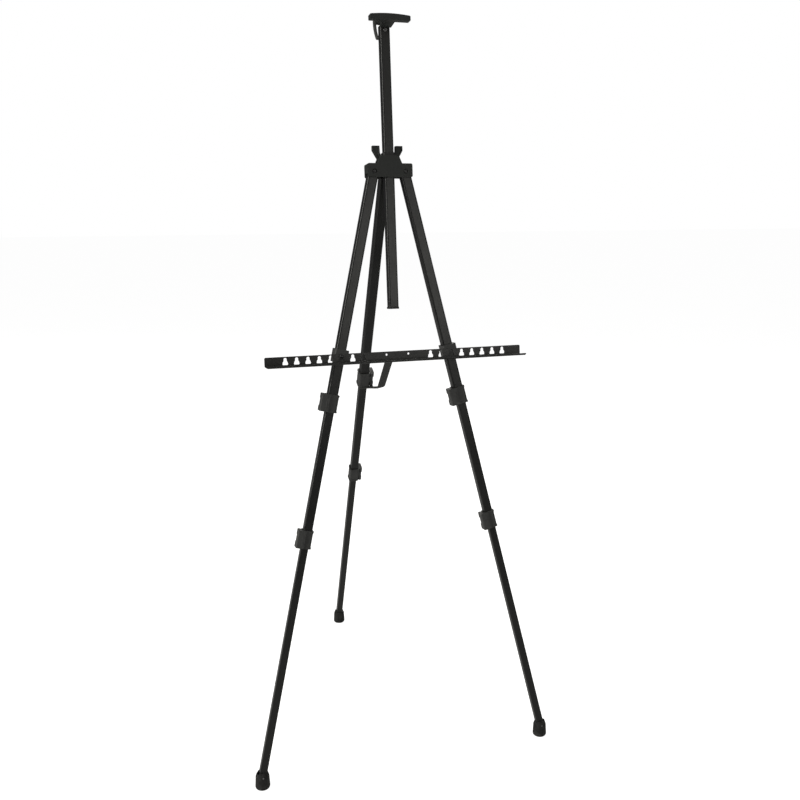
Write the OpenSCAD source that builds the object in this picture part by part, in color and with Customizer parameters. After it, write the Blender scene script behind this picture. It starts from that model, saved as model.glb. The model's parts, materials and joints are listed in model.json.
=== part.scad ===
// Folding tripod display easel: a moulded head, three telescoping square-tube legs with
// flip locks, a sliding mast with a top clamp, and a slotted sheet-metal ledge.
// Millimetres. Z is up, -Y is the side the artwork faces, the floor is z = 0 and the
// origin is the centre of the footprint.

/* [Stance] */
// Lean of the mast and of the plane of the front legs, in degrees
lean = 5.5; // [2:0.5:10]
// Splay of each front leg from the mast, in degrees
front_splay = 12.8; // [11.5:0.1:15]
// Angle of the rear leg behind the plane of the front legs, in degrees
rear_splay = 29.5; // [20:0.5:33]
// Distance along a front leg from its rivet to its foot pin
leg_reach = 1192; // [1100:1:1330]

/* [Tubes] */
// Width of the upper leg tubes
upper_w = 20; // [19:0.5:22]
// Width of the middle leg tubes
middle_w = 17.4; // [16.8:0.1:17.6]
// Width of the lower leg tubes
lower_w = 14.8; // [14:0.1:15]
// Width of the mast tube
mast_w = 19; // [18:0.5:19]
// Wall thickness of every tube
wall = 1.1; // [0.8:0.1:1.1]

/* [Leg locks] */
// Distance along a front leg from its rivet to the middle of the upper lock
upper_lock_at = 452.5; // [420:1:480]
// Distance along a front leg from its rivet to the middle of the lower lock
lower_lock_at = 720.5; // [650:1:760]
// Distance along the rear leg from its rivet to the middle of the upper lock
rear_upper_lock_at = 486; // [450:1:500]
// Distance along the rear leg from its rivet to the middle of the lower lock
rear_lower_lock_at = 766; // [700:1:780]
// Length of the upper lock collars
upper_collar_l = 34.5; // [30:1:40]
// Length of the lower lock collars
lower_collar_l = 35; // [30:1:38]

/* [Ledge] */
// Length of the ledge
ledge_l = 515; // [450:1:560]
// Height of the upright web of the ledge
ledge_h = 19; // [16:0.5:22]
// Depth of the shelf of the ledge, forward of the web
shelf_d = 33; // [20:1:36]
// Distance from the leg rivets down to the top edge of the ledge
ledge_drop = 345.6; // [330:0.2:360]
// Distance between neighbouring keyhole slots
slot_pitch = 21.6; // [18:0.2:22]
// Number of keyhole slots at each end
slots_per_side = 8; // [4:1:8]
// Distance between the two round holes at the middle of the ledge
middle_hole_gap = 44; // [30:1:60]

/* [Head] */
// Width of the head
head_w = 89; // [88:1:96]
// Distance of each front leg rivet from the mast centre line
rivet_x = 31; // [31:0.5:32]
// Distance of the rear leg rivet behind the mast centre line
rear_rivet_y = 31; // [31:1:36]

/* [Mast and top clamp] */
// Height of the mast tube above the leg rivets
mast_up = 270; // [200:0.5:420]
// Length of the mast tube below the leg rivets
mast_down = 260; // [120:1:300]
// Length of the clamp bar
bar_l = 78; // [60:1:90]
// Distance of the clamp bar's middle in front of the mast centre line
bar_reach = 42; // [36:1:46]

/* [Feet] */
// Diameter of a foot at its widest
foot_d = 29; // [29:0.5:34]
// Height of a foot
foot_h = 34; // [33:0.5:38]
// Height of the foot pin above the floor
foot_pin_z = 25.5; // [23:0.5:26]

/* [Hidden] */
$fn = 64;

// Colours
paint = [0.10, 0.10, 0.11];
moulded = [0.16, 0.18, 0.18];
lock_plastic = [0.20, 0.20, 0.21];
steel = [0.45, 0.46, 0.47];
rubber = [0.13, 0.13, 0.13];

// Fits
run_fit = 0.05;
gap = 0.1;
cut = 1;

// Tube corners and lengths
upper_r = 3.4;
middle_r = 2.9;
lower_r = 2.4;
mast_r = 3;
tube_top = 9;
upper_past_lock = 6;
lower_past_lock = 6;
middle_tube_l = 454;
lower_tube_l = 536;
glide_flange_l = 6;
glide_plug_l = 10;

// Head, measured from the middle of the line between the two front leg rivets
head_bottom = -11;
head_top = 15;
neck_top = 29.5;
neck_base_half = 24;
neck_top_half = 18;
plate_t = 3.6;
plate_front = -upper_w / 2 - 0.4 - plate_t;
plate_back = upper_w / 2 + 0.7 + plate_t;
rim_t = 2;
rim_bottom = -4;
rivet_r = 3;
front_head_r = 3.7;
recess_r = 4.7;
rear_head_r = 4.6;
clevis_in = upper_w / 2 + 0.15;
clevis_t = 3.9;
clevis_r = 10;
liner_bottom = 21;
liner_top = 36;

// Mast release arms
arm_x = 15.5;
arm_z = 20;
arm_front = 1.5;
arm_t = 9;
arm_pin_r = 2;
ear_in = 16;
ear_out = 30;
ear_top = 50;
shoe_bottom = -4;

// Lock levers: width across the lever and distance of its pin behind the tube centre
upper_collar_half = upper_w / 2 + 2.4;
lower_collar_half = middle_w / 2 + 2.1;
upper_lever_r = 4.6;
lower_lever_r = 3.9;
lever_pin_r = 1.5;
knuckle_half = 7;
band_h = 3.4;
band_t = 0.7;
lip_t = 1.6;

// Ledge
sheet_t = 1.4;
bend_r = 3;
lip_h = 4;
web_back = 20.5;
web_front = web_back + sheet_t;
stud_below_top = 5.1;
slot_top_r = 3;
slot_wide = 10.4;
slot_h = 13.5;
hole_r = 2;
hole_below_top = 6;
neck_r = slot_top_r - 0.06;
stud_drop = ledge_drop + stud_below_top;
stud_x = rivet_x + stud_drop * tan(front_splay);
stud_along = stud_drop / cos(front_splay);
slot_start = stud_x - 2 * slot_pitch;

// Top clamp
cap_half = mast_w / 2;
cap_plug_l = 24;
cap_top = mast_up + 3.5;
cap_rivet_z = mast_up - 5;
clamp_z = mast_up + 11;
tongue_r = 6;
tongue_half = 4.5;
cheek_in = tongue_half + gap;
cheek_out = cap_half + 1;
clamp_pin_r = 2.5;
clamp_pin_l = 17.5;
bar_d = 14;
bar_bottom = mast_up + 2;
bar_end_top = mast_up + 11.4;
bar_crown = 2.5;
gusset_half = cheek_out + 2;
gusset_low = mast_up - 2;
gusset_back = -12.5;
arm_top = clamp_z + tongue_r;
gusset_t = 3.2;

// Feet
foot_r = foot_d / 2;
foot_pin_r = 2;
tube_below_pin = 6.5;
foot_side_r = foot_r - 1.1;
foot_top_r = 10;
foot_shoulder_z = foot_h - 8.5;
foot_slot_half = lower_w / 2 + 0.12;
foot_hollow_r = 10.1;

// Where the head stands: foot pins at the same height, footprint centred on the origin
head_z = foot_pin_z + leg_reach * cos(front_splay) * cos(lean);
front_foot_y = -leg_reach * cos(front_splay) * sin(lean);
rear_reach = (head_z - rear_rivet_y * sin(lean) - foot_pin_z) / cos(rear_splay - lean);
rear_foot_y = rear_rivet_y * cos(lean) + rear_reach * sin(rear_splay - lean);
head_y = -(front_foot_y + rear_foot_y) / 2;
foot_x = rivet_x + leg_reach * sin(front_splay);

// ---------- frames ----------

module in_head() {
    translate([0, head_y, head_z])
        rotate([-lean, 0, 0])
            children();
}

module on_left_leg() {
    in_head()
        translate([-rivet_x, 0, 0])
            rotate([0, front_splay, 0])
                children();
}

module on_right_leg() {
    in_head()
        translate([rivet_x, 0, 0])
            rotate([0, -front_splay, 0])
                children();
}

// The rear leg is the same leg turned half round, so its locks face the other way
module on_rear_leg() {
    in_head()
        translate([0, rear_rivet_y, 0])
            rotate([rear_splay, 0, 0])
                rotate([0, 0, 180])
                    children();
}

// ---------- shared shapes ----------

module rounded_square(w, d, r) {
    square([w - 2 * r, d], center = true);
    square([w, d - 2 * r], center = true);
    for (x = [-1, 1], y = [-1, 1])
        translate([x * (w / 2 - r), y * (d / 2 - r)])
            circle(r);
}

module tube(w, r, top, bottom) {
    translate([0, 0, bottom])
        linear_extrude(top - bottom)
            difference() {
                rounded_square(w, w, r);
                rounded_square(w - 2 * wall, w - 2 * wall, r - wall);
            }
}

// A cylinder along the depth, from y = front to y = back
module rod_y(r, front, back) {
    translate([0, back, 0])
        rotate([90, 0, 0])
            cylinder(h = back - front, r = r);
}

// A cylinder along the width, from x = low to x = high
module rod_x(r, low, high) {
    translate([low, 0, 0])
        rotate([0, 90, 0])
            cylinder(h = high - low, r = r);
}

// Extrudes an outline drawn in width and height, from y = front to y = back
module slab_y(front, back) {
    translate([0, back, 0])
        rotate([90, 0, 0])
            linear_extrude(back - front)
                children();
}

// Extrudes an outline drawn in depth and height, from x = low to x = high
module slab_x(low, high) {
    translate([low, 0, 0])
        rotate([90, 0, 90])
            linear_extrude(high - low)
                children();
}

// ---------- head ----------

module head_outline() {
    translate([0, (head_top + head_bottom) / 2])
        rounded_square(head_w, head_top - head_bottom, 3);
    polygon([
        [-neck_base_half, head_top - 3], [neck_base_half, head_top - 3],
        [neck_base_half, head_top], [neck_top_half, neck_top],
        [-neck_top_half, neck_top], [-neck_base_half, head_top]
    ]);
}

// The rim over a leg's top end and down its outer side, between y = front and y = back
module lug_rims(front, back) {
    for (side = [-1, 1]) {
        slab_y(front, back)
            translate([side * (head_w / 2 + 20) / 2, head_top - rim_t / 2])
                square([head_w / 2 - 20, rim_t], center = true);
        slab_y(front, back)
            translate([side * (head_w - rim_t) / 2, (head_top + rim_bottom) / 2])
                square([rim_t, head_top - rim_bottom], center = true);
    }
}

module head_front_shell() {
    in_head()
        color(moulded)
            difference() {
                union() {
                    slab_y(plate_front, plate_front + plate_t)
                        head_outline();
                    intersection() {
                        lug_rims(plate_front + cut, -gap / 2);
                        slab_y(plate_front, 0)
                            head_outline();
                    }
                    front_shell_ribs();
                    front_shell_lip();
                }
                for (side = [-1, 1])
                    translate([side * rivet_x, 0, 0]) {
                        rod_y(rivet_r + run_fit, plate_front - cut, 0);
                        rod_y(recess_r, plate_front - cut, plate_front + 1.7);
                    }
                for (side = [-1, 1])
                    translate([side * arm_x, 0, arm_z])
                        rod_y(arm_pin_r + run_fit, plate_front + 1.4, 0);
            }
}

// Ribs that guide the front half of the mast, and the sides of the neck
module front_shell_ribs() {
    rib_in = mast_w / 2 + gap;
    for (side = [-1, 1]) {
        translate([side * (rib_in + 1) - 1, plate_front + plate_t - cut, head_bottom])
            cube([2, -plate_front - plate_t + cut - gap / 2, head_top - head_bottom - 1]);
        slab_y(plate_front + plate_t - cut, -gap / 2)
            scale([side, 1])
                polygon([
                    [neck_base_half, head_top], [neck_top_half, neck_top],
                    [neck_top_half - 2, neck_top], [neck_base_half - 2, head_top]
                ]);
    }
}

// A raised lip along the lower edge of the front face
module front_shell_lip() {
    translate([-head_w / 2 + 3, plate_front - 0.6, head_bottom])
        cube([head_w - 6, 0.6 + cut, 2]);
}

module head_rear_shell() {
    in_head()
        color(moulded)
            difference() {
                union() {
                    slab_y(plate_back - plate_t, plate_back)
                        head_outline();
                    intersection() {
                        lug_rims(gap / 2, plate_back - cut);
                        slab_y(0, plate_back)
                            head_outline();
                    }
                    rear_clevis();
                }
                for (side = [-1, 1])
                    translate([side * rivet_x, 0, 0])
                        rod_y(rivet_r + run_fit, 0, plate_back + cut);
                for (side = [-1, 1])
                    translate([side * arm_x, 0, arm_z])
                        rod_y(arm_pin_r + run_fit, 0, plate_back - 1.4);
                translate([0, rear_rivet_y, 0])
                    rod_x(rivet_r + run_fit, -head_w / 2, head_w / 2);
            }
}

// Two cheeks behind the head that carry the rear leg
module rear_clevis() {
    for (side = [-1, 1])
        slab_x(side * (clevis_in + clevis_t / 2) - clevis_t / 2,
               side * (clevis_in + clevis_t / 2) + clevis_t / 2) {
            translate([plate_back - cut, -clevis_r])
                square([rear_rivet_y - plate_back + cut, 2 * clevis_r]);
            translate([rear_rivet_y, 0])
                circle(clevis_r);
        }
}

module front_leg_rivets() {
    in_head()
        color(steel)
            for (side = [-1, 1])
                translate([side * rivet_x, 0, 0]) {
                    rod_y(rivet_r, plate_front + 1, plate_back + 1);
                    rod_y(front_head_r, plate_front + 0.5, plate_front + 1.65);
                    rod_y(rear_head_r, plate_back + run_fit, plate_back + 1.8);
                }
}

module rear_leg_rivet() {
    head_in = clevis_in + clevis_t + run_fit;
    in_head()
        translate([0, rear_rivet_y, 0])
            color(steel) {
                rod_x(rivet_r, -head_in - 1, head_in + 1);
                rod_x(rear_head_r, head_in, head_in + 1.9);
                rod_x(rear_head_r, -head_in - 1.9, -head_in);
            }
}

// Plastic bush that the mast slides in, with a collar that stands above the neck
module mast_liner() {
    body_d = 2 * (upper_w / 2 + 0.35);
    collar_w = mast_w + 4.6;
    in_head()
        color(lock_plastic)
            difference() {
                union() {
                    translate([0, 0, liner_bottom])
                        linear_extrude(neck_top - liner_bottom + 0.5)
                            rounded_square(mast_w + 3.6, body_d, 2);
                    translate([0, 0, neck_top + gap])
                        linear_extrude(liner_top - neck_top - gap)
                            rounded_square(collar_w, collar_w, 3);
                }
                translate([0, 0, liner_bottom - cut])
                    linear_extrude(liner_top - liner_bottom + 2 * cut)
                        rounded_square(mast_w + 2 * run_fit, mast_w + 2 * run_fit, mast_r);
            }
}

// Torsion springs wound round the release arms' front trunnions
module release_springs() {
    wire_r = 0.5;
    coil_r = 2.9;
    turns = 8;
    coil_front = -8.3;
    in_head()
        color(steel)
            for (side = [-1, 1])
                translate([side * arm_x, coil_front, arm_z]) {
                    rotate([-90, 0, 0])
                        rotate_extrude()
                            for (i = [0 : turns])
                                translate([coil_r, i * 1.8 * wire_r])
                                    circle(wire_r, $fn = 24);
                    translate([side * coil_r, 0, -9])
                        cylinder(h = 9, r = wire_r, $fn = 24);
                }
}

module release_arm_outline() {
    polygon([
        [mast_w / 2 + 0.15, shoe_bottom], [12.6, shoe_bottom], [13.6, 14], [18.6, 17.5],
        [19.4, 23], [ear_out, 41], [ear_out, ear_top], [ear_in, ear_top],
        [15.4, 37], [13.2, 30], [12.3, 24], [12.2, 17], [mast_w / 2 + 0.15, 13]
    ]);
}

// Shallow pocket in the front of each ear
module release_arm_pocket() {
    polygon([
        [ear_in + 2.2, ear_top - 2.2], [ear_out - 2.2, ear_top - 2.2],
        [ear_out - 2.2, 41.6], [19.4, 29], [17.8, 36.8]
    ]);
}

module release_arm(side) {
    in_head()
        color(moulded) {
            difference() {
                slab_y(arm_front, arm_front + arm_t)
                    scale([side, 1])
                        release_arm_outline();
                slab_y(arm_front - cut, arm_front + 1.2)
                    scale([side, 1])
                        release_arm_pocket();
            }
            translate([side * arm_x, 0, arm_z])
                rod_y(arm_pin_r, plate_front + 1.6, plate_back - 1.6);
        }
}

module left_release_arm() {
    release_arm(-1);
}

module right_release_arm() {
    release_arm(1);
}

// ---------- mast and top clamp ----------

module mast_tube() {
    in_head()
        color(paint)
            difference() {
                tube(mast_w, mast_r, mast_up, -mast_down);
                translate([0, 0, cap_rivet_z])
                    rod_y(foot_pin_r + run_fit, -mast_w, mast_w);
            }
}

module mast_end_plug() {
    plug_w = mast_w - 2 * wall - 2 * run_fit;
    in_head()
        translate([0, 0, -mast_down])
            color(lock_plastic) {
                translate([0, 0, -cut])
                    linear_extrude(12 + cut)
                        rounded_square(plug_w, plug_w, mast_r - wall);
                translate([0, 0, -4])
                    linear_extrude(4 - run_fit)
                        rounded_square(mast_w + 1.4, mast_w + 1.4, mast_r);
            }
}

module mast_cap() {
    plug_w = mast_w - 2 * wall - 2 * run_fit;
    in_head()
        color(moulded)
            difference() {
                union() {
                    translate([0, 0, mast_up - cap_plug_l])
                        linear_extrude(cap_plug_l + cut)
                            rounded_square(plug_w, plug_w, mast_r - wall);
                    translate([0, 0, mast_up + run_fit])
                        linear_extrude(cap_top - mast_up - run_fit)
                            rounded_square(2 * cap_half, 2 * cap_half, mast_r);
                    slab_x(-tongue_half, tongue_half) {
                        translate([0, clamp_z])
                            circle(tongue_r);
                        translate([-tongue_r, cap_top - cut])
                            square([2 * tongue_r, clamp_z - cap_top + cut]);
                    }
                }
                translate([0, 0, cap_rivet_z])
                    rod_y(foot_pin_r + run_fit, -mast_w, mast_w);
                translate([0, 0, clamp_z])
                    rod_x(clamp_pin_r + run_fit, -mast_w, mast_w);
            }
}

module mast_cap_rivet() {
    head_in = cap_half + run_fit;
    in_head()
        translate([0, 0, cap_rivet_z])
            color(steel) {
                rod_y(foot_pin_r, -head_in - 0.5, head_in + 0.5);
                rod_y(3.8, -head_in - 1.2, -head_in);
                rod_y(3.8, head_in, head_in + 1.2);
            }
}

module clamp_pin() {
    in_head()
        translate([0, 0, clamp_z])
            color(steel) {
                rod_x(clamp_pin_r, -clamp_pin_l, cheek_out + 1);
                rod_x(4.4, cheek_out + run_fit, cheek_out + 2.2);
            }
}

// Outline of the crossbar seen from the front, with a crowned top
module bar_outline() {
    crown_r = (pow(bar_l / 2, 2) + pow(bar_crown, 2)) / (2 * bar_crown);
    translate([0, (bar_bottom + bar_end_top) / 2])
        rounded_square(bar_l, bar_end_top - bar_bottom, 1.5);
    intersection() {
        translate([0, bar_end_top + bar_crown - crown_r])
            circle(crown_r, $fn = 400);
        translate([-bar_l / 2 + 1.5, bar_bottom + 2])
            square([bar_l - 3, bar_end_top - bar_bottom + bar_crown]);
    }
}

// The arm that joins the crossbar to the pin: wide under the bar, narrow at the mast
module bar_arm() {
    front = -bar_reach + bar_d / 2;
    intersection() {
        translate([0, 0, gusset_low - cut])
            linear_extrude(arm_top - gusset_low + 2 * cut)
                polygon([
                    [-cheek_out, tongue_r + 1], [cheek_out, tongue_r + 1],
                    [cheek_out, gusset_back], [gusset_half, front], [gusset_half, front - 2],
                    [-gusset_half, front - 2], [-gusset_half, front], [-cheek_out, gusset_back]
                ]);
        slab_y(front - 2 - cut, tongue_r + cut)
            polygon([
                [-gusset_half, bar_bottom + 1], [-cheek_out, gusset_low],
                [cheek_out, gusset_low], [gusset_half, bar_bottom + 1],
                [gusset_half, arm_top + 1], [-gusset_half, arm_top + 1]
            ]);
        slab_x(-bar_l, bar_l) {
            translate([0, clamp_z])
                circle(tongue_r);
            polygon([
                [0, arm_top], [front - 2, bar_end_top],
                [front - 2, bar_bottom + 1], [gusset_back - gusset_t, gusset_low],
                [gusset_back, gusset_low], [gusset_back, clamp_z - tongue_r + 0.5],
                [-2, clamp_z - tongue_r + 0.5]
            ]);
        }
    }
}

module clamp_bar() {
    in_head()
        color(moulded)
            difference() {
                union() {
                    slab_y(-bar_reach - bar_d / 2, -bar_reach + bar_d / 2)
                        bar_outline();
                    bar_arm();
                }
                slab_x(-cheek_in, cheek_in)
                    translate([-tongue_r - 1.4, clamp_z - tongue_r - cut])
                        square([2 * tongue_r + 6, 2 * tongue_r + 6]);
                translate([0, 0, clamp_z])
                    rod_x(clamp_pin_r + run_fit, -mast_w, mast_w);
            }
}

// Cam lever on the left end of the clamp pin; its curved blade hangs beside the mast
module clamp_lever() {
    hub_in = -cheek_out - gap;
    hub_out = -20;
    blade_r = 90;
    blade_t = 4;
    blade_l = 33;
    in_head()
        translate([0, 0, clamp_z])
            color(lock_plastic)
                difference() {
                    union() {
                        rod_x(5.6, hub_out, hub_in);
                        intersection() {
                            slab_y(-5, 5)
                                translate([hub_out + blade_r, -3])
                                    difference() {
                                        circle(blade_r, $fn = 200);
                                        circle(blade_r - blade_t, $fn = 200);
                                    }
                            slab_x(hub_out - cut, hub_in)
                                polygon([
                                    [-5, 0], [5, 0], [4, 2 - blade_l], [2.5, -blade_l],
                                    [-2.5, -blade_l], [-4, 2 - blade_l]
                                ]);
                        }
                    }
                    rod_x(clamp_pin_r + run_fit, -clamp_pin_l - run_fit, 0);
                }
}

// ---------- legs ----------
// In a leg's own frame the rivet is the origin, the foot is towards -z and the locks
// face -x.

module upper_tube(lock_at, rivet_turn) {
    color(paint)
        difference() {
            tube(upper_w, upper_r, tube_top, -lock_at - upper_past_lock);
            rotate([0, 0, rivet_turn])
                rod_y(rivet_r + run_fit, -upper_w, upper_w);
        }
}

module middle_tube(lock_at) {
    bottom = -lock_at - lower_past_lock;
    color(paint)
        tube(middle_w, middle_r, bottom + middle_tube_l, bottom);
}

module lower_tube(reach, pin_turn) {
    bottom = -reach - tube_below_pin;
    color(paint)
        difference() {
            tube(lower_w, lower_r, bottom + lower_tube_l, bottom);
            translate([0, 0, -reach])
                rotate([0, 0, pin_turn])
                    rod_y(foot_pin_r + run_fit, -lower_w, lower_w);
        }
}

// Guide plugged into the top of an inner tube, its flange running inside the outer tube
module glide(w, r, outer_w, outer_r, top) {
    plug_w = w - 2 * wall - 2 * gap / 5;
    flange_w = outer_w - 2 * wall - gap;
    color(lock_plastic)
        translate([0, 0, top]) {
            translate([0, 0, run_fit])
                linear_extrude(glide_flange_l)
                    rounded_square(flange_w, flange_w, outer_r - wall);
            translate([0, 0, -glide_plug_l])
                linear_extrude(glide_plug_l + 2 * run_fit)
                    rounded_square(plug_w, plug_w, r - wall);
        }
}

module middle_glide(lock_at) {
    glide(middle_w, middle_r, upper_w, upper_r, -lock_at - lower_past_lock + middle_tube_l);
}

module lower_glide(reach) {
    glide(lower_w, lower_r, middle_w, middle_r, -reach - tube_below_pin + lower_tube_l);
}

// Collar on the end of an outer tube that grips the inner tube sliding out of it
module collar(lock_at, l, half, outer_w, outer_r, inner_w, inner_r, past, lever_r) {
    pin_x = -half - 0.2 - lever_r;
    pin_y = lever_r + 1.4;
    color(moulded)
        translate([0, 0, -lock_at])
            difference() {
                union() {
                    translate([0, 0, -l / 2])
                        linear_extrude(l)
                            rounded_square(2 * half, 2 * half, outer_r + 1);
                    for (z = [-l / 2, l / 2 - band_h])
                        translate([band_t / 2, 0, z])
                            linear_extrude(band_h)
                                rounded_square(2 * half + band_t, 2 * half + 2 * band_t, outer_r + 1);
                    translate([0, 0, -knuckle_half])
                        linear_extrude(2 * knuckle_half) {
                            translate([pin_x, pin_y])
                                circle(lever_r - 1.2);
                            translate([pin_x, pin_y - lever_r + 1.2])
                                square([lever_r + 3, 2 * lever_r - 2.4]);
                        }
                }
                translate([0, 0, -past - run_fit])
                    linear_extrude(l)
                        rounded_square(outer_w + 2 * run_fit, outer_w + 2 * run_fit, outer_r);
                translate([0, 0, -l])
                    linear_extrude(2 * l)
                        rounded_square(inner_w + 2 * run_fit, inner_w + 2 * run_fit, inner_r);
                translate([-half - cut, -half / 2, -l / 2 - cut])
                    cube([half - inner_w / 2 + 2 * cut, 1.2, l / 2 - knuckle_half / 2]);
                translate([pin_x, pin_y, -l])
                    cylinder(h = 2 * l, r = lever_pin_r + run_fit);
            }
}

module lever_pin(lock_at, l, half, lever_r) {
    color(steel)
        translate([-half - 0.2 - lever_r, lever_r + 1.4, -lock_at - l / 2 + 1.2])
            cylinder(h = l - 2.4, r = lever_pin_r);
}

// Flip lever that wraps the side and half the front of its collar. It swings out about
// its pin, front lip first.
module lock_lever(lock_at, l, half, lever_r, outer_r) {
    pin_x = -half - 0.2 - lever_r;
    pin_y = lever_r + 1.4;
    round_r = 2;
    clear = 0.15;
    lip_x = -half + 8;
    front = -half - band_t - clear - lip_t;
    left = pin_x - lever_r;
    color(lock_plastic)
        translate([0, 0, -lock_at])
            difference() {
                translate([0, 0, -l / 2 + 0.3])
                    linear_extrude(l - 0.6)
                        difference() {
                            union() {
                                translate([pin_x, pin_y])
                                    circle(lever_r);
                                translate([left, front + round_r])
                                    square([2 * lever_r, pin_y - front - round_r]);
                                translate([left + round_r, front])
                                    square([lip_x - lip_t / 2 - left - round_r, lip_t]);
                                translate([left + round_r, front + round_r])
                                    circle(round_r);
                                translate([left + round_r, front + lip_t - 0.1])
                                    square([-half + 4 - left - round_r, 3.2]);
                                translate([lip_x - lip_t / 2, front + lip_t / 2])
                                    circle(lip_t / 2);
                            }
                            translate([band_t / 2, 0])
                                rounded_square(2 * half + band_t + 2 * clear,
                                               2 * (half + band_t + clear), outer_r + 1);
                        }
                translate([pin_x - 2 * lever_r, pin_y - lever_r + 0.7, -knuckle_half - gap])
                    cube([4 * lever_r, 2 * lever_r, 2 * knuckle_half + 2 * gap]);
                translate([pin_x, pin_y, -l])
                    cylinder(h = 2 * l, r = lever_pin_r + run_fit);
            }
}

module upper_collar(lock_at) {
    collar(lock_at, upper_collar_l, upper_collar_half, upper_w, upper_r,
           middle_w, middle_r, upper_past_lock, upper_lever_r);
}

module lower_collar(lock_at) {
    collar(lock_at, lower_collar_l, lower_collar_half, middle_w, middle_r,
           lower_w, lower_r, lower_past_lock, lower_lever_r);
}

module upper_lever_pin(lock_at) {
    lever_pin(lock_at, upper_collar_l, upper_collar_half, upper_lever_r);
}

module lower_lever_pin(lock_at) {
    lever_pin(lock_at, lower_collar_l, lower_collar_half, lower_lever_r);
}

module upper_lever(lock_at) {
    lock_lever(lock_at, upper_collar_l, upper_collar_half, upper_lever_r, upper_r);
}

module lower_lever(lock_at) {
    lock_lever(lock_at, lower_collar_l, lower_collar_half, lower_lever_r, middle_r);
}

// ---------- feet ----------

module foot_pin(reach, pin_turn) {
    pin_half = foot_side_r - 0.5;
    color(steel)
        translate([0, 0, -reach])
            rotate([0, 0, pin_turn])
                rod_y(foot_pin_r, -pin_half, pin_half);
}

// Rubber foot that stands upright on the floor at x, y. Its pin turns with pin_turn and
// dips by pin_dip; the mouth lets the tube lean by up to swing, all in degrees.
module foot(x, y, pin_turn, pin_dip, swing) {
    mouth_h = foot_h;
    mouth_low = foot_slot_half / cos(swing);
    mouth_high = mouth_low + mouth_h * tan(swing);
    translate([x, y, 0])
        color(rubber)
            difference() {
                rotate_extrude()
                    polygon(foot_profile());
                translate([0, 0, foot_pin_z])
                    rotate([pin_dip, 0, pin_turn]) {
                        slab_y(-foot_slot_half, foot_slot_half) {
                            circle(foot_hollow_r);
                            polygon([
                                [-mouth_low, 0], [mouth_low, 0],
                                [mouth_high, mouth_h], [-mouth_high, mouth_h]
                            ]);
                        }
                        rod_y(foot_pin_r + run_fit, -foot_d, foot_d);
                    }
            }
}

// Half section of a foot: flat sole, rounded lower edge, slightly tapered side and a
// sloping shoulder
function foot_profile() = concat(
    [[0, 0], [foot_r - 5, 0]],
    [for (a = [15 : 15 : 90]) [foot_r - 5 + 5 * sin(a), 5 - 5 * cos(a)]],
    [[foot_side_r, foot_shoulder_z], [foot_top_r + 0.9, foot_h - 1], [foot_top_r, foot_h]],
    [[0, foot_h]]
);

// ---------- ledge ----------

module ledge_bracket() {
    half_w = 13.5;
    half_h = 13;
    back = 12.5;
    front = -web_back + gap;
    color(moulded)
        translate([0, 0, -stud_along])
            difference() {
                translate([0, (back + front) / 2, -half_h])
                    linear_extrude(2 * half_h)
                        rounded_square(2 * half_w, back - front, 3);
                translate([0, 0, -half_h - cut])
                    linear_extrude(2 * half_h + 2 * cut)
                        rounded_square(upper_w + 2 * run_fit, upper_w + 2 * run_fit, upper_r);
                translate([-0.6, upper_w / 2 - cut, -half_h - cut])
                    cube([1.2, back, 2 * half_h + 2 * cut]);
                rod_y(2.5 + run_fit, front - cut, -upper_w / 2 - 2.5);
            }
}

// The stud the ledge hangs and turns on: shank in the bracket, neck in the slot, head
module left_ledge_stud() {
    back = -upper_w / 2 - 2.6;
    on_left_leg()
        translate([0, 0, -stud_along])
            color(steel) {
                rod_y(2.5, -web_back, back);
                rod_y(neck_r, -web_front - 0.5, -web_back + gap);
                rod_y(5.2, -web_front - 2.4, -web_front - gap);
                rod_y(3.6, -web_front - 3.2, -web_front - 2);
            }
}

// The short stud that the right slot hooks over
module right_ledge_stud() {
    back = -upper_w / 2 - 2.6;
    on_right_leg()
        translate([0, 0, -stud_along])
            color(steel)
                rod_y(2.5, -web_back + gap / 2, back);
}

module left_ledge_bracket() {
    on_left_leg()
        ledge_bracket();
}

module right_ledge_bracket() {
    on_right_leg()
        ledge_bracket();
}

// One keyhole slot: narrow round top, sloping shoulders and a wide foot. Its origin is
// the centre of the round top.
module keyhole() {
    foot_top = -6.2;
    foot_bottom = slot_top_r - slot_h;
    circle(slot_top_r);
    polygon([
        [-slot_top_r, 0], [-slot_top_r, -3], [-slot_wide / 2, foot_top],
        [slot_wide / 2, foot_top], [slot_top_r, -3], [slot_top_r, 0]
    ]);
    translate([0, (foot_top + foot_bottom) / 2])
        rounded_square(slot_wide, foot_top - foot_bottom, 1.6);
}

// Section of the ledge in depth and height: web, bend, shelf and a small front lip.
// The origin is the lower back corner and the shelf runs towards -x.
module ledge_section() {
    translate([-sheet_t, bend_r])
        square([sheet_t, ledge_h - bend_r]);
    translate([-shelf_d + bend_r, 0])
        square([shelf_d - 2 * bend_r, sheet_t]);
    translate([-shelf_d, bend_r])
        square([sheet_t, lip_h - bend_r]);
    bend(-bend_r, [0, -bend_r]);
    bend(-shelf_d + bend_r, [-bend_r, -bend_r]);
}

// A quarter bend of the sheet round a centre at x, kept inside the square at corner
module bend(x, corner) {
    translate([x, bend_r])
        intersection() {
            difference() {
                circle(bend_r);
                circle(bend_r - sheet_t);
            }
            translate(corner)
                square(bend_r);
        }
}

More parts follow.
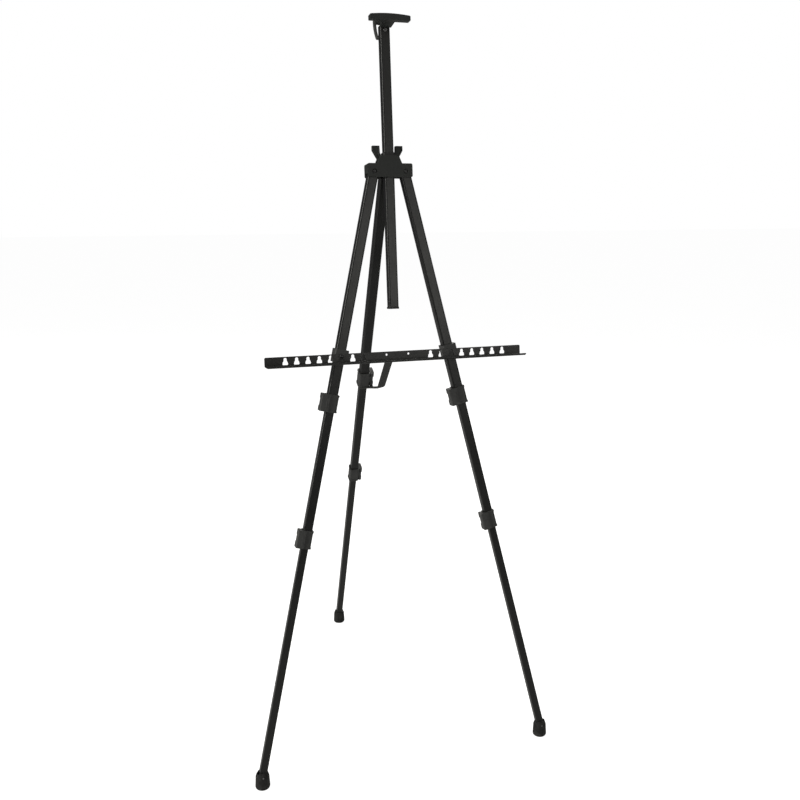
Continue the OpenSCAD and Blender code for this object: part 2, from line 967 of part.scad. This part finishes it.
module ledge() {
    bottom = -ledge_drop - ledge_h;
    in_head()
        color(paint)
            difference() {
                intersection() {
                    translate([0, -web_back, bottom])
                        slab_x(-ledge_l / 2, ledge_l / 2)
                            ledge_section();
                    slab_y(-web_back - shelf_d - cut, 0)
                        translate([0, bottom + ledge_h / 2])
                            rounded_square(ledge_l, ledge_h, 2.8);
                }
                for (side = [-1, 1], i = [0 : slots_per_side - 1])
                    translate([side * (slot_start + i * slot_pitch), 0, -stud_drop])
                        slab_y(-web_front - 2 * bend_r, 0)
                            keyhole();
                for (side = [-1, 1])
                    translate([side * middle_hole_gap / 2, 0, -ledge_drop - hole_below_top])
                        rod_y(hole_r, -web_front - cut, 0);
            }
}

// Flat hook for a bag or cloth, fixed under the rear leg's upper collar
module accessory_hook() {
    plate_top = -upper_collar_l / 2 - run_fit;
    plate_t = 3;
    hole_w = middle_w + 1;
    hook_front = 11.5;
    hook_back = 15.5;
    top_z = 55;
    on_rear_leg()
        translate([0, 0, -rear_upper_lock_at])
            color(moulded) {
                translate([0, 0, plate_top - plate_t])
                    linear_extrude(plate_t)
                        difference() {
                            union() {
                                rounded_square(2 * upper_collar_half, 2 * upper_collar_half, 4);
                                translate([-22, hook_back - 7])
                                    square([30, 7]);
                            }
                            rounded_square(hole_w, hole_w, middle_r);
                        }
                slab_y(hook_front, hook_back)
                    polygon([
                        [-12, plate_top], [-24, plate_top - 0.5], [-32, plate_top - 0.5],
                        [-43, top_z], [-56.5, top_z], [-59.5, top_z - 3], [-48.5, plate_top + 2],
                        [-45, plate_top - 1.5], [-38, plate_top - 3], [-32, plate_top - 4.6],
                        [-24, plate_top - 4.2], [-12, plate_top - plate_t]
                    ]);
            }
}

// ---------- placed leg parts ----------

module left_upper_tube() {
    on_left_leg()
        upper_tube(upper_lock_at, 0);
}

module left_upper_collar() {
    on_left_leg()
        upper_collar(upper_lock_at);
}

module left_upper_lever_pin() {
    on_left_leg()
        upper_lever_pin(upper_lock_at);
}

module left_upper_lever() {
    on_left_leg()
        upper_lever(upper_lock_at);
}

module left_middle_tube() {
    on_left_leg()
        middle_tube(lower_lock_at);
}

module left_middle_glide() {
    on_left_leg()
        middle_glide(lower_lock_at);
}

module left_lower_collar() {
    on_left_leg()
        lower_collar(lower_lock_at);
}

module left_lower_lever_pin() {
    on_left_leg()
        lower_lever_pin(lower_lock_at);
}

module left_lower_lever() {
    on_left_leg()
        lower_lever(lower_lock_at);
}

module left_lower_tube() {
    on_left_leg()
        lower_tube(leg_reach, 0);
}

module left_lower_glide() {
    on_left_leg()
        lower_glide(leg_reach);
}

module left_foot_pin() {
    on_left_leg()
        foot_pin(leg_reach, 0);
}

module left_foot() {
    foot(-foot_x, head_y + front_foot_y, 0, -lean, front_splay + 3);
}

module right_upper_tube() {
    on_right_leg()
        upper_tube(upper_lock_at, 0);
}

module right_upper_collar() {
    on_right_leg()
        upper_collar(upper_lock_at);
}

module right_upper_lever_pin() {
    on_right_leg()
        upper_lever_pin(upper_lock_at);
}

module right_upper_lever() {
    on_right_leg()
        upper_lever(upper_lock_at);
}

module right_middle_tube() {
    on_right_leg()
        middle_tube(lower_lock_at);
}

module right_middle_glide() {
    on_right_leg()
        middle_glide(lower_lock_at);
}

module right_lower_collar() {
    on_right_leg()
        lower_collar(lower_lock_at);
}

module right_lower_lever_pin() {
    on_right_leg()
        lower_lever_pin(lower_lock_at);
}

module right_lower_lever() {
    on_right_leg()
        lower_lever(lower_lock_at);
}

module right_lower_tube() {
    on_right_leg()
        lower_tube(leg_reach, 0);
}

module right_lower_glide() {
    on_right_leg()
        lower_glide(leg_reach);
}

module right_foot_pin() {
    on_right_leg()
        foot_pin(leg_reach, 0);
}

module right_foot() {
    foot(foot_x, head_y + front_foot_y, 0, -lean, front_splay + 3);
}

module rear_upper_tube() {
    on_rear_leg()
        upper_tube(rear_upper_lock_at, 90);
}

module rear_upper_collar() {
    on_rear_leg()
        upper_collar(rear_upper_lock_at);
}

module rear_upper_lever_pin() {
    on_rear_leg()
        upper_lever_pin(rear_upper_lock_at);
}

module rear_upper_lever() {
    on_rear_leg()
        upper_lever(rear_upper_lock_at);
}

module rear_middle_tube() {
    on_rear_leg()
        middle_tube(rear_lower_lock_at);
}

module rear_middle_glide() {
    on_rear_leg()
        middle_glide(rear_lower_lock_at);
}

module rear_lower_collar() {
    on_rear_leg()
        lower_collar(rear_lower_lock_at);
}

module rear_lower_lever_pin() {
    on_rear_leg()
        lower_lever_pin(rear_lower_lock_at);
}

module rear_lower_lever() {
    on_rear_leg()
        lower_lever(rear_lower_lock_at);
}

module rear_lower_tube() {
    on_rear_leg()
        lower_tube(rear_reach, 90);
}

module rear_lower_glide() {
    on_rear_leg()
        lower_glide(rear_reach);
}

module rear_foot_pin() {
    on_rear_leg()
        foot_pin(rear_reach, 90);
}

module rear_foot() {
    foot(0, head_y + rear_foot_y, 90, 0, rear_splay - lean + 3);
}

head_front_shell();
head_rear_shell();
front_leg_rivets();
rear_leg_rivet();
mast_liner();
release_springs();
left_release_arm();
right_release_arm();
mast_tube();
mast_end_plug();
mast_cap();
mast_cap_rivet();
clamp_pin();
clamp_bar();
clamp_lever();
left_upper_tube();
left_upper_collar();
left_upper_lever_pin();
left_upper_lever();
left_middle_tube();
left_middle_glide();
left_lower_collar();
left_lower_lever_pin();
left_lower_lever();
left_lower_tube();
left_lower_glide();
left_foot_pin();
left_foot();
right_upper_tube();
right_upper_collar();
right_upper_lever_pin();
right_upper_lever();
right_middle_tube();
right_middle_glide();
right_lower_collar();
right_lower_lever_pin();
right_lower_lever();
right_lower_tube();
right_lower_glide();
right_foot_pin();
right_foot();
rear_upper_tube();
rear_upper_collar();
rear_upper_lever_pin();
rear_upper_lever();
rear_middle_tube();
rear_middle_glide();
rear_lower_collar();
rear_lower_lever_pin();
rear_lower_lever();
rear_lower_tube();
rear_lower_glide();
rear_foot_pin();
rear_foot();
left_ledge_bracket();
right_ledge_bracket();
left_ledge_stud();
right_ledge_stud();
ledge();
accessory_hook();
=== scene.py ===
"""Folding tripod display easel: materials, small fittings, studio and camera."""

import json
import math

import bmesh
import bpy
from mathutils import Matrix, Vector


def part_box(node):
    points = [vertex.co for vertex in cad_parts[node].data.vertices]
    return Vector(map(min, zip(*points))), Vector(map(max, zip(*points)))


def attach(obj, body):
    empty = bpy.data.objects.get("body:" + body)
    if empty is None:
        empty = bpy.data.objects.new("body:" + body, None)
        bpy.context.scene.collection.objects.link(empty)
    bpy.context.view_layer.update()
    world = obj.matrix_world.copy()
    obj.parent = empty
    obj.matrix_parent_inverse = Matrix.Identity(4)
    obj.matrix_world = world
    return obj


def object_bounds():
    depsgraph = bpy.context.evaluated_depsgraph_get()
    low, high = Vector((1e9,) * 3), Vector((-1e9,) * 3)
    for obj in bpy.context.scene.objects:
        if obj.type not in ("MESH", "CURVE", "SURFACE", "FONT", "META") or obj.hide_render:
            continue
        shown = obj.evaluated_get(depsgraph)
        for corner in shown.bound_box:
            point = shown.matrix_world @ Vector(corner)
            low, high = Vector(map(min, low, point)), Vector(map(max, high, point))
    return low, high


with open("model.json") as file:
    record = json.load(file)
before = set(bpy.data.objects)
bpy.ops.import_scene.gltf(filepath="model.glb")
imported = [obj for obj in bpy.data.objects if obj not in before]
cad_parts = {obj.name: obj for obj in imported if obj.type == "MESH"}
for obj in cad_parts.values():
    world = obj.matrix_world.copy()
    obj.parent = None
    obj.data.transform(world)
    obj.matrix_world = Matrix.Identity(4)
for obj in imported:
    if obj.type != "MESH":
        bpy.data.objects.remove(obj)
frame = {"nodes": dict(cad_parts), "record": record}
cad_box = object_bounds()
NODES = frame["nodes"]
RECORD = frame["record"]
JOINTS = {j["name"]: j for j in RECORD["behaviour"]["joints"]}


# ---------- material graphs ----------


class Graph:
    """One material and the nodes that make it. Lengths are in metres."""

    def __init__(self, name):
        self.material = bpy.data.materials.new(name)
        self.material.use_nodes = True
        self.tree = self.material.node_tree
        self.tree.nodes.clear()
        self.place = self.add("ShaderNodeTexCoord").outputs["Object"]

    def add(self, kind, inputs=None, **settings):
        node = self.tree.nodes.new(kind)
        for key, value in settings.items():
            setattr(node, key, value)
        for key, value in (inputs or {}).items():
            self.feed(node, key, value)
        return node

    def feed(self, node, key, value):
        if isinstance(value, bpy.types.NodeSocket):
            self.tree.links.new(value, node.inputs[key])
        else:
            node.inputs[key].default_value = value

    def noise(self, size, detail=3.0, rough=0.55, stretch=None):
        """Smooth noise whose blotches are about size metres across, from 0 to 1."""
        place = self.place
        if stretch:
            place = self.add(
                "ShaderNodeMapping", {"Vector": place, "Scale": stretch}
            ).outputs[0]
        inputs = {"Vector": place, "Scale": 1 / size, "Detail": detail, "Roughness": rough}
        return self.add("ShaderNodeTexNoise", inputs).outputs["Fac"]

    def pits(self, size):
        """Small rounded cells, such as the grain of a moulded surface."""
        inputs = {"Vector": self.place, "Scale": 1 / size}
        return self.add("ShaderNodeTexVoronoi", inputs).outputs["Distance"]

    def ramp(self, value, low, high, out_low=0.0, out_high=1.0):
        inputs = {
            "Value": value,
            "From Min": low,
            "From Max": high,
            "To Min": out_low,
            "To Max": out_high,
        }
        return self.add("ShaderNodeMapRange", inputs).outputs[0]

    def math(self, operation, a, b):
        return self.add("ShaderNodeMath", {0: a, 1: b}, operation=operation).outputs[0]

    def mix(self, amount, a, b):
        node = self.add("ShaderNodeMix", data_type="RGBA")
        self.feed(node, 0, amount)
        self.feed(node, 6, a)
        self.feed(node, 7, b)
        return node.outputs[2]

    def edges(self, radius):
        """1 on outer edges and corners, 0 on open faces."""
        soft = self.add("ShaderNodeBevel", {"Radius": radius}, samples=6).outputs[0]
        flat = self.add("ShaderNodeNewGeometry").outputs["Normal"]
        dot = self.add("ShaderNodeVectorMath", {0: soft, 1: flat}, operation="DOT_PRODUCT")
        return self.ramp(dot.outputs["Value"], 0.995, 0.86)

    def upward(self):
        """1 on surfaces that face up, where dust settles."""
        normal = self.add("ShaderNodeNewGeometry").outputs["Normal"]
        split = self.add("ShaderNodeSeparateXYZ", {0: normal})
        return self.ramp(split.outputs["Z"], 0.55, 0.98)

    def bump(self, height, distance, strength, round_edges):
        """A bumped normal over edges rounded by round_edges metres."""
        base = self.add("ShaderNodeBevel", {"Radius": round_edges}, samples=6).outputs[0]
        inputs = {"Height": height, "Distance": distance, "Strength": strength, "Normal": base}
        return self.add("ShaderNodeBump", inputs).outputs[0]

    def finish(self, **inputs):
        shader = self.add("ShaderNodeBsdfPrincipled")
        for key, value in inputs.items():
            self.feed(shader, key.replace("_", " "), value)
        out = self.add("ShaderNodeOutputMaterial")
        self.tree.links.new(shader.outputs[0], out.inputs[0])
        return self.material


def grey(value, green=0.0, blue=0.0):
    return (value, value * (1 + green), value * (1 + blue), 1.0)


def powder_coat(name, dark, light):
    """Satin black powder coat: orange peel, faint clouding, rubbed corners and dust."""
    g = Graph(name)
    clouds = g.noise(0.11, 4)
    peel = g.noise(0.0011, 2)
    scuffs = g.noise(0.006, 6, 0.7, stretch=(1, 1, 0.25))
    rubbed = g.math("MULTIPLY", g.edges(0.0012), g.ramp(scuffs, 0.52, 0.72))
    dust = g.math("MULTIPLY", g.upward(), g.ramp(g.noise(0.02, 5), 0.35, 0.8, 0.1, 0.55))
    colour = g.mix(g.ramp(clouds, 0.3, 0.7), grey(dark), grey(light))
    colour = g.mix(g.math("MULTIPLY", rubbed, 0.35), colour, grey(0.10))
    colour = g.mix(g.math("MULTIPLY", dust, 0.2), colour, grey(0.15, -0.01, -0.03))
    rough = g.ramp(g.math("ADD", clouds, g.ramp(scuffs, 0.4, 0.7, 0, 0.25)), 0.3, 0.9, 0.27, 0.4)
    return g.finish(
        Base_Color=colour,
        Roughness=rough,
        Specular_IOR_Level=0.38,
        Coat_Weight=0.08,
        Coat_Roughness=0.22,
        Normal=g.bump(peel, 0.00012, 0.35, 0.0004),
    )


def moulded_plastic(name, dark, light, green, rough_low, rough_high, grain):
    """Moulded plastic: eroded grain, flow clouding, edges polished by handling to a lower
    roughness, and a painted highlight that lightens every edge.
    """
    g = Graph(name)
    clouds = g.noise(0.03, 4)
    cells = g.pits(grain)
    fine = g.noise(grain * 0.6, 3, 0.6)
    # edge marks the outer edges: there it lowers the roughness as polish from handling, and
    # lightens the colour as a painted highlight
    edge = g.edges(0.0009)
    marks = g.ramp(g.noise(0.004, 6, 0.75, stretch=(0.3, 1, 1)), 0.6, 0.74)
    colour = g.mix(g.ramp(clouds, 0.3, 0.7), grey(dark, green), grey(light, green, green / 2))
    # Painted highlight: every edge is mixed towards a lighter grey, as if it caught the light
    colour = g.mix(g.math("MULTIPLY", edge, 0.16), colour, grey(0.12, green))
    colour = g.mix(g.math("MULTIPLY", marks, 0.14), colour, grey(0.1))
    rough = g.ramp(clouds, 0.3, 0.7, rough_low, rough_high)
    rough = g.math("SUBTRACT", rough, g.math("MULTIPLY", edge, 0.1))
    height = g.math("ADD", cells, g.math("MULTIPLY", fine, 0.6))
    return g.finish(
        Base_Color=colour,
        Roughness=rough,
        Specular_IOR_Level=0.36,
        Normal=g.bump(height, 0.00008, 0.5, 0.0005),
    )


def foot_rubber():
    """Matt rubber with a bloom of dust that thickens towards the floor."""
    g = Graph("foot_rubber")
    grain = g.noise(0.0009, 4, 0.7)
    blotch = g.noise(0.012, 5, 0.65)
    height = g.add("ShaderNodeSeparateXYZ", {0: g.place}).outputs["Z"]
    low = g.ramp(height, 0.012, 0.0)
    dust = g.math("MULTIPLY", g.ramp(blotch, 0.4, 0.75), g.math("ADD", low, 0.25))
    colour = g.mix(g.ramp(blotch, 0.3, 0.7), grey(0.011), grey(0.019, 0.02))
    colour = g.mix(g.math("MULTIPLY", dust, 0.45), colour, grey(0.2, -0.02, -0.05))
    return g.finish(
        Base_Color=colour,
        Roughness=g.ramp(grain, 0.3, 0.7, 0.58, 0.8),
        Specular_IOR_Level=0.25,
        Sheen_Weight=0.05,
        Normal=g.bump(grain, 0.0002, 0.5, 0.0008),
    )


def turned_steel(name, dark, light):
    """Dull steel with fine turning marks and darker blotches."""
    g = Graph(name)
    turning = g.noise(0.0005, 3, 0.6, stretch=(1, 0.2, 1))
    blotch = g.noise(0.003, 5, 0.7)
    colour = g.mix(g.ramp(blotch, 0.35, 0.65), grey(dark), grey(light, 0.0, 0.02))
    return g.finish(
        Base_Color=colour,
        Metallic=1.0,
        Roughness=g.ramp(turning, 0.3, 0.7, 0.28, 0.46),
        Normal=g.bump(turning, 0.00004, 0.4, 0.0004),
    )


MATERIALS = {
    "tube_paint": powder_coat("tube_powder_coat", 0.006, 0.011),
    "ledge_paint": powder_coat("ledge_powder_coat", 0.009, 0.015),
    "head_plastic": moulded_plastic("head_plastic", 0.016, 0.023, 0.1, 0.46, 0.58, 0.0009),
    "lock_plastic": moulded_plastic("lock_plastic", 0.044, 0.060, 0.01, 0.44, 0.56, 0.0008),
    "lever_plastic": moulded_plastic("lever_plastic", 0.046, 0.064, 0.01, 0.42, 0.54, 0.0007),
    "nylon": moulded_plastic("nylon", 0.010, 0.016, 0.0, 0.42, 0.52, 0.0006),
    "steel": turned_steel("plated_steel", 0.08, 0.24),
    "rubber": foot_rubber(),
}

# The rivets in the head and the ledge studs are blackened, unlike the other steel parts
BLACKENED = turned_steel("blackened_steel", 0.03, 0.07)
BLACKENED_NODES = ("front_leg_rivets", "rear_leg_rivet", "left_ledge_stud", "right_ledge_stud")

# How far each finish rounds its outer edges, in metres
EDGE_ROUND = {
    "tube_paint": 0.0002,
    "ledge_paint": 0.0002,
    "head_plastic": 0.0007,
    "lock_plastic": 0.0006,
    "lever_plastic": 0.0006,
    "nylon": 0.0003,
    "steel": 0.0003,
    "rubber": 0.0009,
}


def round_edges(piece, width):
    """Joins the faces of a CAD solid and rounds its sharp edges, with modifiers only."""
    join = piece.modifiers.new("join_faces", "WELD")
    join.merge_threshold = 0.000002
    flat = piece.modifiers.new("one_face_per_plane", "DECIMATE")
    flat.decimate_type = "DISSOLVE"
    flat.angle_limit = math.radians(0.5)
    soft = piece.modifiers.new("rounded_edges", "BEVEL")
    soft.width = width
    soft.segments = 2
    soft.limit_method = "ANGLE"
    soft.angle_limit = math.radians(35)
    shading = piece.modifiers.new("even_shading", "WEIGHTED_NORMAL")
    shading.weight = 50


for part in RECORD["subparts"]:
    piece = NODES[part["node"]]
    piece.data.materials.clear()
    black = part["node"] in BLACKENED_NODES
    piece.data.materials.append(BLACKENED if black else MATERIALS[part["material_slot"]])
    round_edges(piece, EDGE_ROUND[part["material_slot"]])


# ---------- small fittings ----------

UP = Vector(JOINTS["mast_slide"]["axis"])
RIGHT = Vector((1, 0, 0))
FRONT = RIGHT.cross(UP)


def reach(node, start, direction):
    """How far a CAD node extends from start along direction, in metres."""
    return max((v.co - start).dot(direction) for v in NODES[node].data.vertices)


def turned(mesh, profile, place, axis, steps=40):
    """Adds a turned shape to mesh: profile holds (radius, height) pairs, turned about axis."""
    turn = Vector(axis).to_track_quat("Z", "Y").to_matrix().to_4x4()
    to_place = Matrix.Translation(place) @ turn
    rings = []
    for radius, height in profile:
        count = steps if radius > 0 else 1
        angles = [math.tau * i / steps for i in range(count)]
        points = [(radius * math.cos(a), radius * math.sin(a), height) for a in angles]
        rings.append([mesh.verts.new(to_place @ Vector(p)) for p in points])
    for low, high in zip(rings, rings[1:]):
        for i in range(steps):
            j = (i + 1) % steps
            corners = [
                low[i % len(low)],
                low[j % len(low)],
                high[j % len(high)],
                high[i % len(high)],
            ]
            mesh.faces.new(list(dict.fromkeys(corners)))


def fitting(name, mesh, body, slot, finish=None):
    """Turns a finished bmesh into a smooth piece that rides on a body."""
    bmesh.ops.recalc_face_normals(mesh, faces=mesh.faces)
    data = bpy.data.meshes.new(name)
    mesh.to_mesh(data)
    mesh.free()
    for face in data.polygons:
        face.use_smooth = True
    data.materials.append(finish or MATERIALS[slot])
    piece = bpy.data.objects.new(name, data)
    bpy.context.scene.collection.objects.link(piece)
    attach(piece, body)
    return piece


def rolled_rim(radius, proud=0.7):
    """Profile of a hollow rivet's end: a rolled rim round a sunk middle."""
    rim = radius * 0.28
    sunk = -0.1 * radius
    base = -0.0006
    arc = [math.pi * i / 8 for i in range(9)]
    rolled = [(radius - rim - rim * math.cos(a), proud * rim * math.sin(a)) for a in arc]
    return [(0, sunk), (radius - 2 * rim, sunk)] + rolled + [(radius, base), (0, base)]


def dome(radius, height):
    """Profile of a shallow dome with a short skirt."""
    arc = [math.pi / 2 * i / 6 for i in range(7)]
    cap = [(radius * math.sin(a), height * math.cos(a)) for a in arc]
    return cap + [(radius, -0.0006), (0, -0.0006)]


def capsule(radius, length):
    """Profile of a bar with round ends, centred on its place."""
    arc = [math.pi / 2 * i / 4 for i in range(5)]
    end = length / 2 - radius
    top = [(radius * math.sin(a), end + radius * math.cos(a)) for a in arc]
    return top + [(r, -h) for r, h in reversed(top)]


def middle_of(node):
    low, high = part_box(node)
    return (low + high) / 2


def rivet_ends():
    """Rolled rims on the rivets that show, and a domed face on the ledge stud."""
    mesh = bmesh.new()
    for side in ("left", "right"):
        start = Vector(JOINTS[side + "_leg_fold"]["pos_m"])
        out = reach("front_leg_rivets", start, FRONT)
        turned(mesh, rolled_rim(0.0034), start + FRONT * out, FRONT)
        back = reach("front_leg_rivets", start, -FRONT)
        turned(mesh, rolled_rim(0.0038), start - FRONT * back, -FRONT)
    fitting("front_leg_rivet_rims", mesh, "head", "steel", BLACKENED)

    mesh = bmesh.new()
    start = Vector(JOINTS["rear_leg_fold"]["pos_m"])
    for way in (RIGHT, -RIGHT):
        out = reach("rear_leg_rivet", start, way)
        turned(mesh, rolled_rim(0.0038), start + way * out, way)
    fitting("rear_leg_rivet_rims", mesh, "head", "steel", BLACKENED)

    mesh = bmesh.new()
    start = middle_of("mast_cap_rivet")
    for way in (FRONT, -FRONT):
        out = reach("mast_cap_rivet", start, way)
        turned(mesh, rolled_rim(0.0032, 0.2), start + way * out, way)
    fitting("mast_cap_rivet_rims", mesh, "mast", "steel")

    mesh = bmesh.new()
    start = Vector(JOINTS["ledge_swing"]["pos_m"])
    out = reach("left_ledge_stud", start, FRONT)
    turned(mesh, dome(0.0034, 0.0007), start + FRONT * out, FRONT)
    fitting("left_ledge_stud_face", mesh, "left_upper_leg", "steel", BLACKENED)


def foot_pin_ends(leg):
    """Domed ends on the pin that a foot swivels on."""
    mesh = bmesh.new()
    joint = JOINTS[leg + "_foot_swivel"]
    start = Vector(joint["pos_m"])
    for way in (Vector(joint["axis"]), -Vector(joint["axis"])):
        out = reach(leg + "_foot_pin", start, way)
        turned(mesh, dome(0.0019, 0.0008), start + way * out, way, steps=28)
    fitting(leg + "_foot_pin_ends", mesh, leg + "_lower_leg", "steel")


def lever_ribs(leg, lock, count=3, radius=0.0007, pitch=0.0019):
    """Finger ribs along the free edge of a flip lever."""
    name = f"{leg}_{lock}_lever"
    joint = JOINTS[name + "_turn"]
    start = Vector(joint["pos_m"])
    down = Vector(joint["axis"])
    side = RIGHT.copy() if leg == "rear" else FRONT.cross(down)
    if side.dot(middle_of(f"{leg}_{lock}_collar") - start) < 0:
        side = -side
    front = side.cross(down)
    if front.dot(middle_of(name) - start) < 0:
        front = -front
    length = reach(name, start, down) + reach(name, start, -down)
    face = start + front * (reach(name, start, front) - 0.2 * radius)
    edge = reach(name, start, side)
    mesh = bmesh.new()
    for i in range(count):
        place = face + side * (edge - 0.0019 - i * pitch)
        turned(mesh, capsule(radius, 0.66 * length), place, down, steps=16)
    fitting(name + "_ribs", mesh, name, "lever_plastic")


rivet_ends()
for leg in ("left", "right", "rear"):
    foot_pin_ends(leg)
    for lock in ("upper", "lower"):
        lever_ribs(leg, lock)


# ---------- studio ----------


def area_light(name, place, aim, width, height, power):
    data = bpy.data.lights.new(name, "AREA")
    data.shape = "RECTANGLE"
    data.size = width
    data.size_y = height
    data.energy = power
    data.color = (1.0, 0.99, 0.94)
    light = bpy.data.objects.new(name, data)
    light.location = place
    light.rotation_euler = (Vector(aim) - Vector(place)).to_track_quat("-Z", "Y").to_euler()
    bpy.context.scene.collection.objects.link(light)
    return light


def floor():
    """A plain pale floor, wide enough to run out of the picture."""
    mesh = bpy.data.meshes.new("floor")
    half = 30
    corners = [(-half, -half, 0), (half, -half, 0), (half, half, 0), (-half, half, 0)]
    mesh.from_pydata(corners, [], [(0, 1, 2, 3)])
    g = Graph("pale_floor")
    shade = g.ramp(g.noise(0.5, 2), 0.3, 0.7, 0.60, 0.63)
    colour = g.add("ShaderNodeCombineColor", {0: shade, 1: shade, 2: shade}).outputs[0]
    seen = g.add("ShaderNodeLightPath").outputs["Is Camera Ray"]
    material = g.finish(
        Base_Color=colour,
        Roughness=0.9,
        Specular_IOR_Level=0.1,
        Emission_Color=(1, 1, 1, 1),
        Emission_Strength=g.ramp(seen, 0, 1, 0.03, 0.94),
    )
    mesh.materials.append(material)
    plane = bpy.data.objects.new("floor", mesh)
    bpy.context.scene.collection.objects.link(plane)


def backdrop(seen, cast):
    """An even white surround: strength seen by the camera, and strength it lights with."""
    world = bpy.data.worlds.new("studio")
    bpy.context.scene.world = world
    world.use_nodes = True
    tree = world.node_tree
    tree.nodes.clear()
    path = tree.nodes.new("ShaderNodeLightPath")
    strength = tree.nodes.new("ShaderNodeMapRange")
    strength.inputs["To Min"].default_value = cast
    strength.inputs["To Max"].default_value = seen
    white = tree.nodes.new("ShaderNodeBackground")
    white.inputs["Color"].default_value = (1, 1, 1, 1)
    out = tree.nodes.new("ShaderNodeOutputWorld")
    tree.links.new(path.outputs["Is Camera Ray"], strength.inputs["Value"])
    tree.links.new(strength.outputs[0], white.inputs["Strength"])
    tree.links.new(white.outputs[0], out.inputs[0])


def camera(place, yaw, pitch, roll, focal, shift):
    """A camera at place. Yaw turns it right from +Y, pitch tilts it up, in degrees."""
    yaw, pitch, roll = (math.radians(a) for a in (yaw, pitch, roll))
    ahead = Vector(
        (math.sin(yaw) * math.cos(pitch), math.cos(yaw) * math.cos(pitch), math.sin(pitch))
    )
    right = Vector((math.cos(yaw), -math.sin(yaw), 0))
    up = right.cross(ahead)
    right, up = (
        right * math.cos(roll) + up * math.sin(roll),
        up * math.cos(roll) - right * math.sin(roll),
    )
    data = bpy.data.cameras.new("camera")
    data.sensor_width = 36
    data.lens = 36 * focal
    data.shift_x, data.shift_y = shift
    eye = bpy.data.objects.new("camera", data)
    turn = Matrix((right, up, -ahead)).transposed().to_4x4()
    eye.matrix_world = Matrix.Translation(Vector(place)) @ turn
    bpy.context.scene.collection.objects.link(eye)
    bpy.context.scene.camera = eye


low, high = cad_box
middle = (Vector(low) + Vector(high)) / 2
floor()
backdrop(seen=1.0, cast=0.07)
area_light("left_window", (-2.6, -0.9, 1.9), middle, 0.9, 2.4, 62)
area_light("front_window", (0.95, -2.9, 1.25), middle, 1.5, 0.7, 7)
area_light("front_fill", (1.2, -3.2, 2.2), middle, 2.4, 2.0, 7)
area_light("top_soft", (0, -0.4, 3.2), middle, 3.0, 3.0, 10)
area_light("right_rim", (2.4, 1.6, 1.8), middle, 1.0, 2.4, 6)
area_light("back_soft", (1.6, 2.8, 3.0), middle, 2.4, 1.4, 60)
camera(
    place=(-0.4767, -1.9524, 1.1273),
    yaw=17.79,
    pitch=-10.43,
    roll=-0.02,
    focal=1.1377,
    shift=(-0.0352, -0.0393),
)
bpy.context.scene.view_settings.view_transform = "Standard"
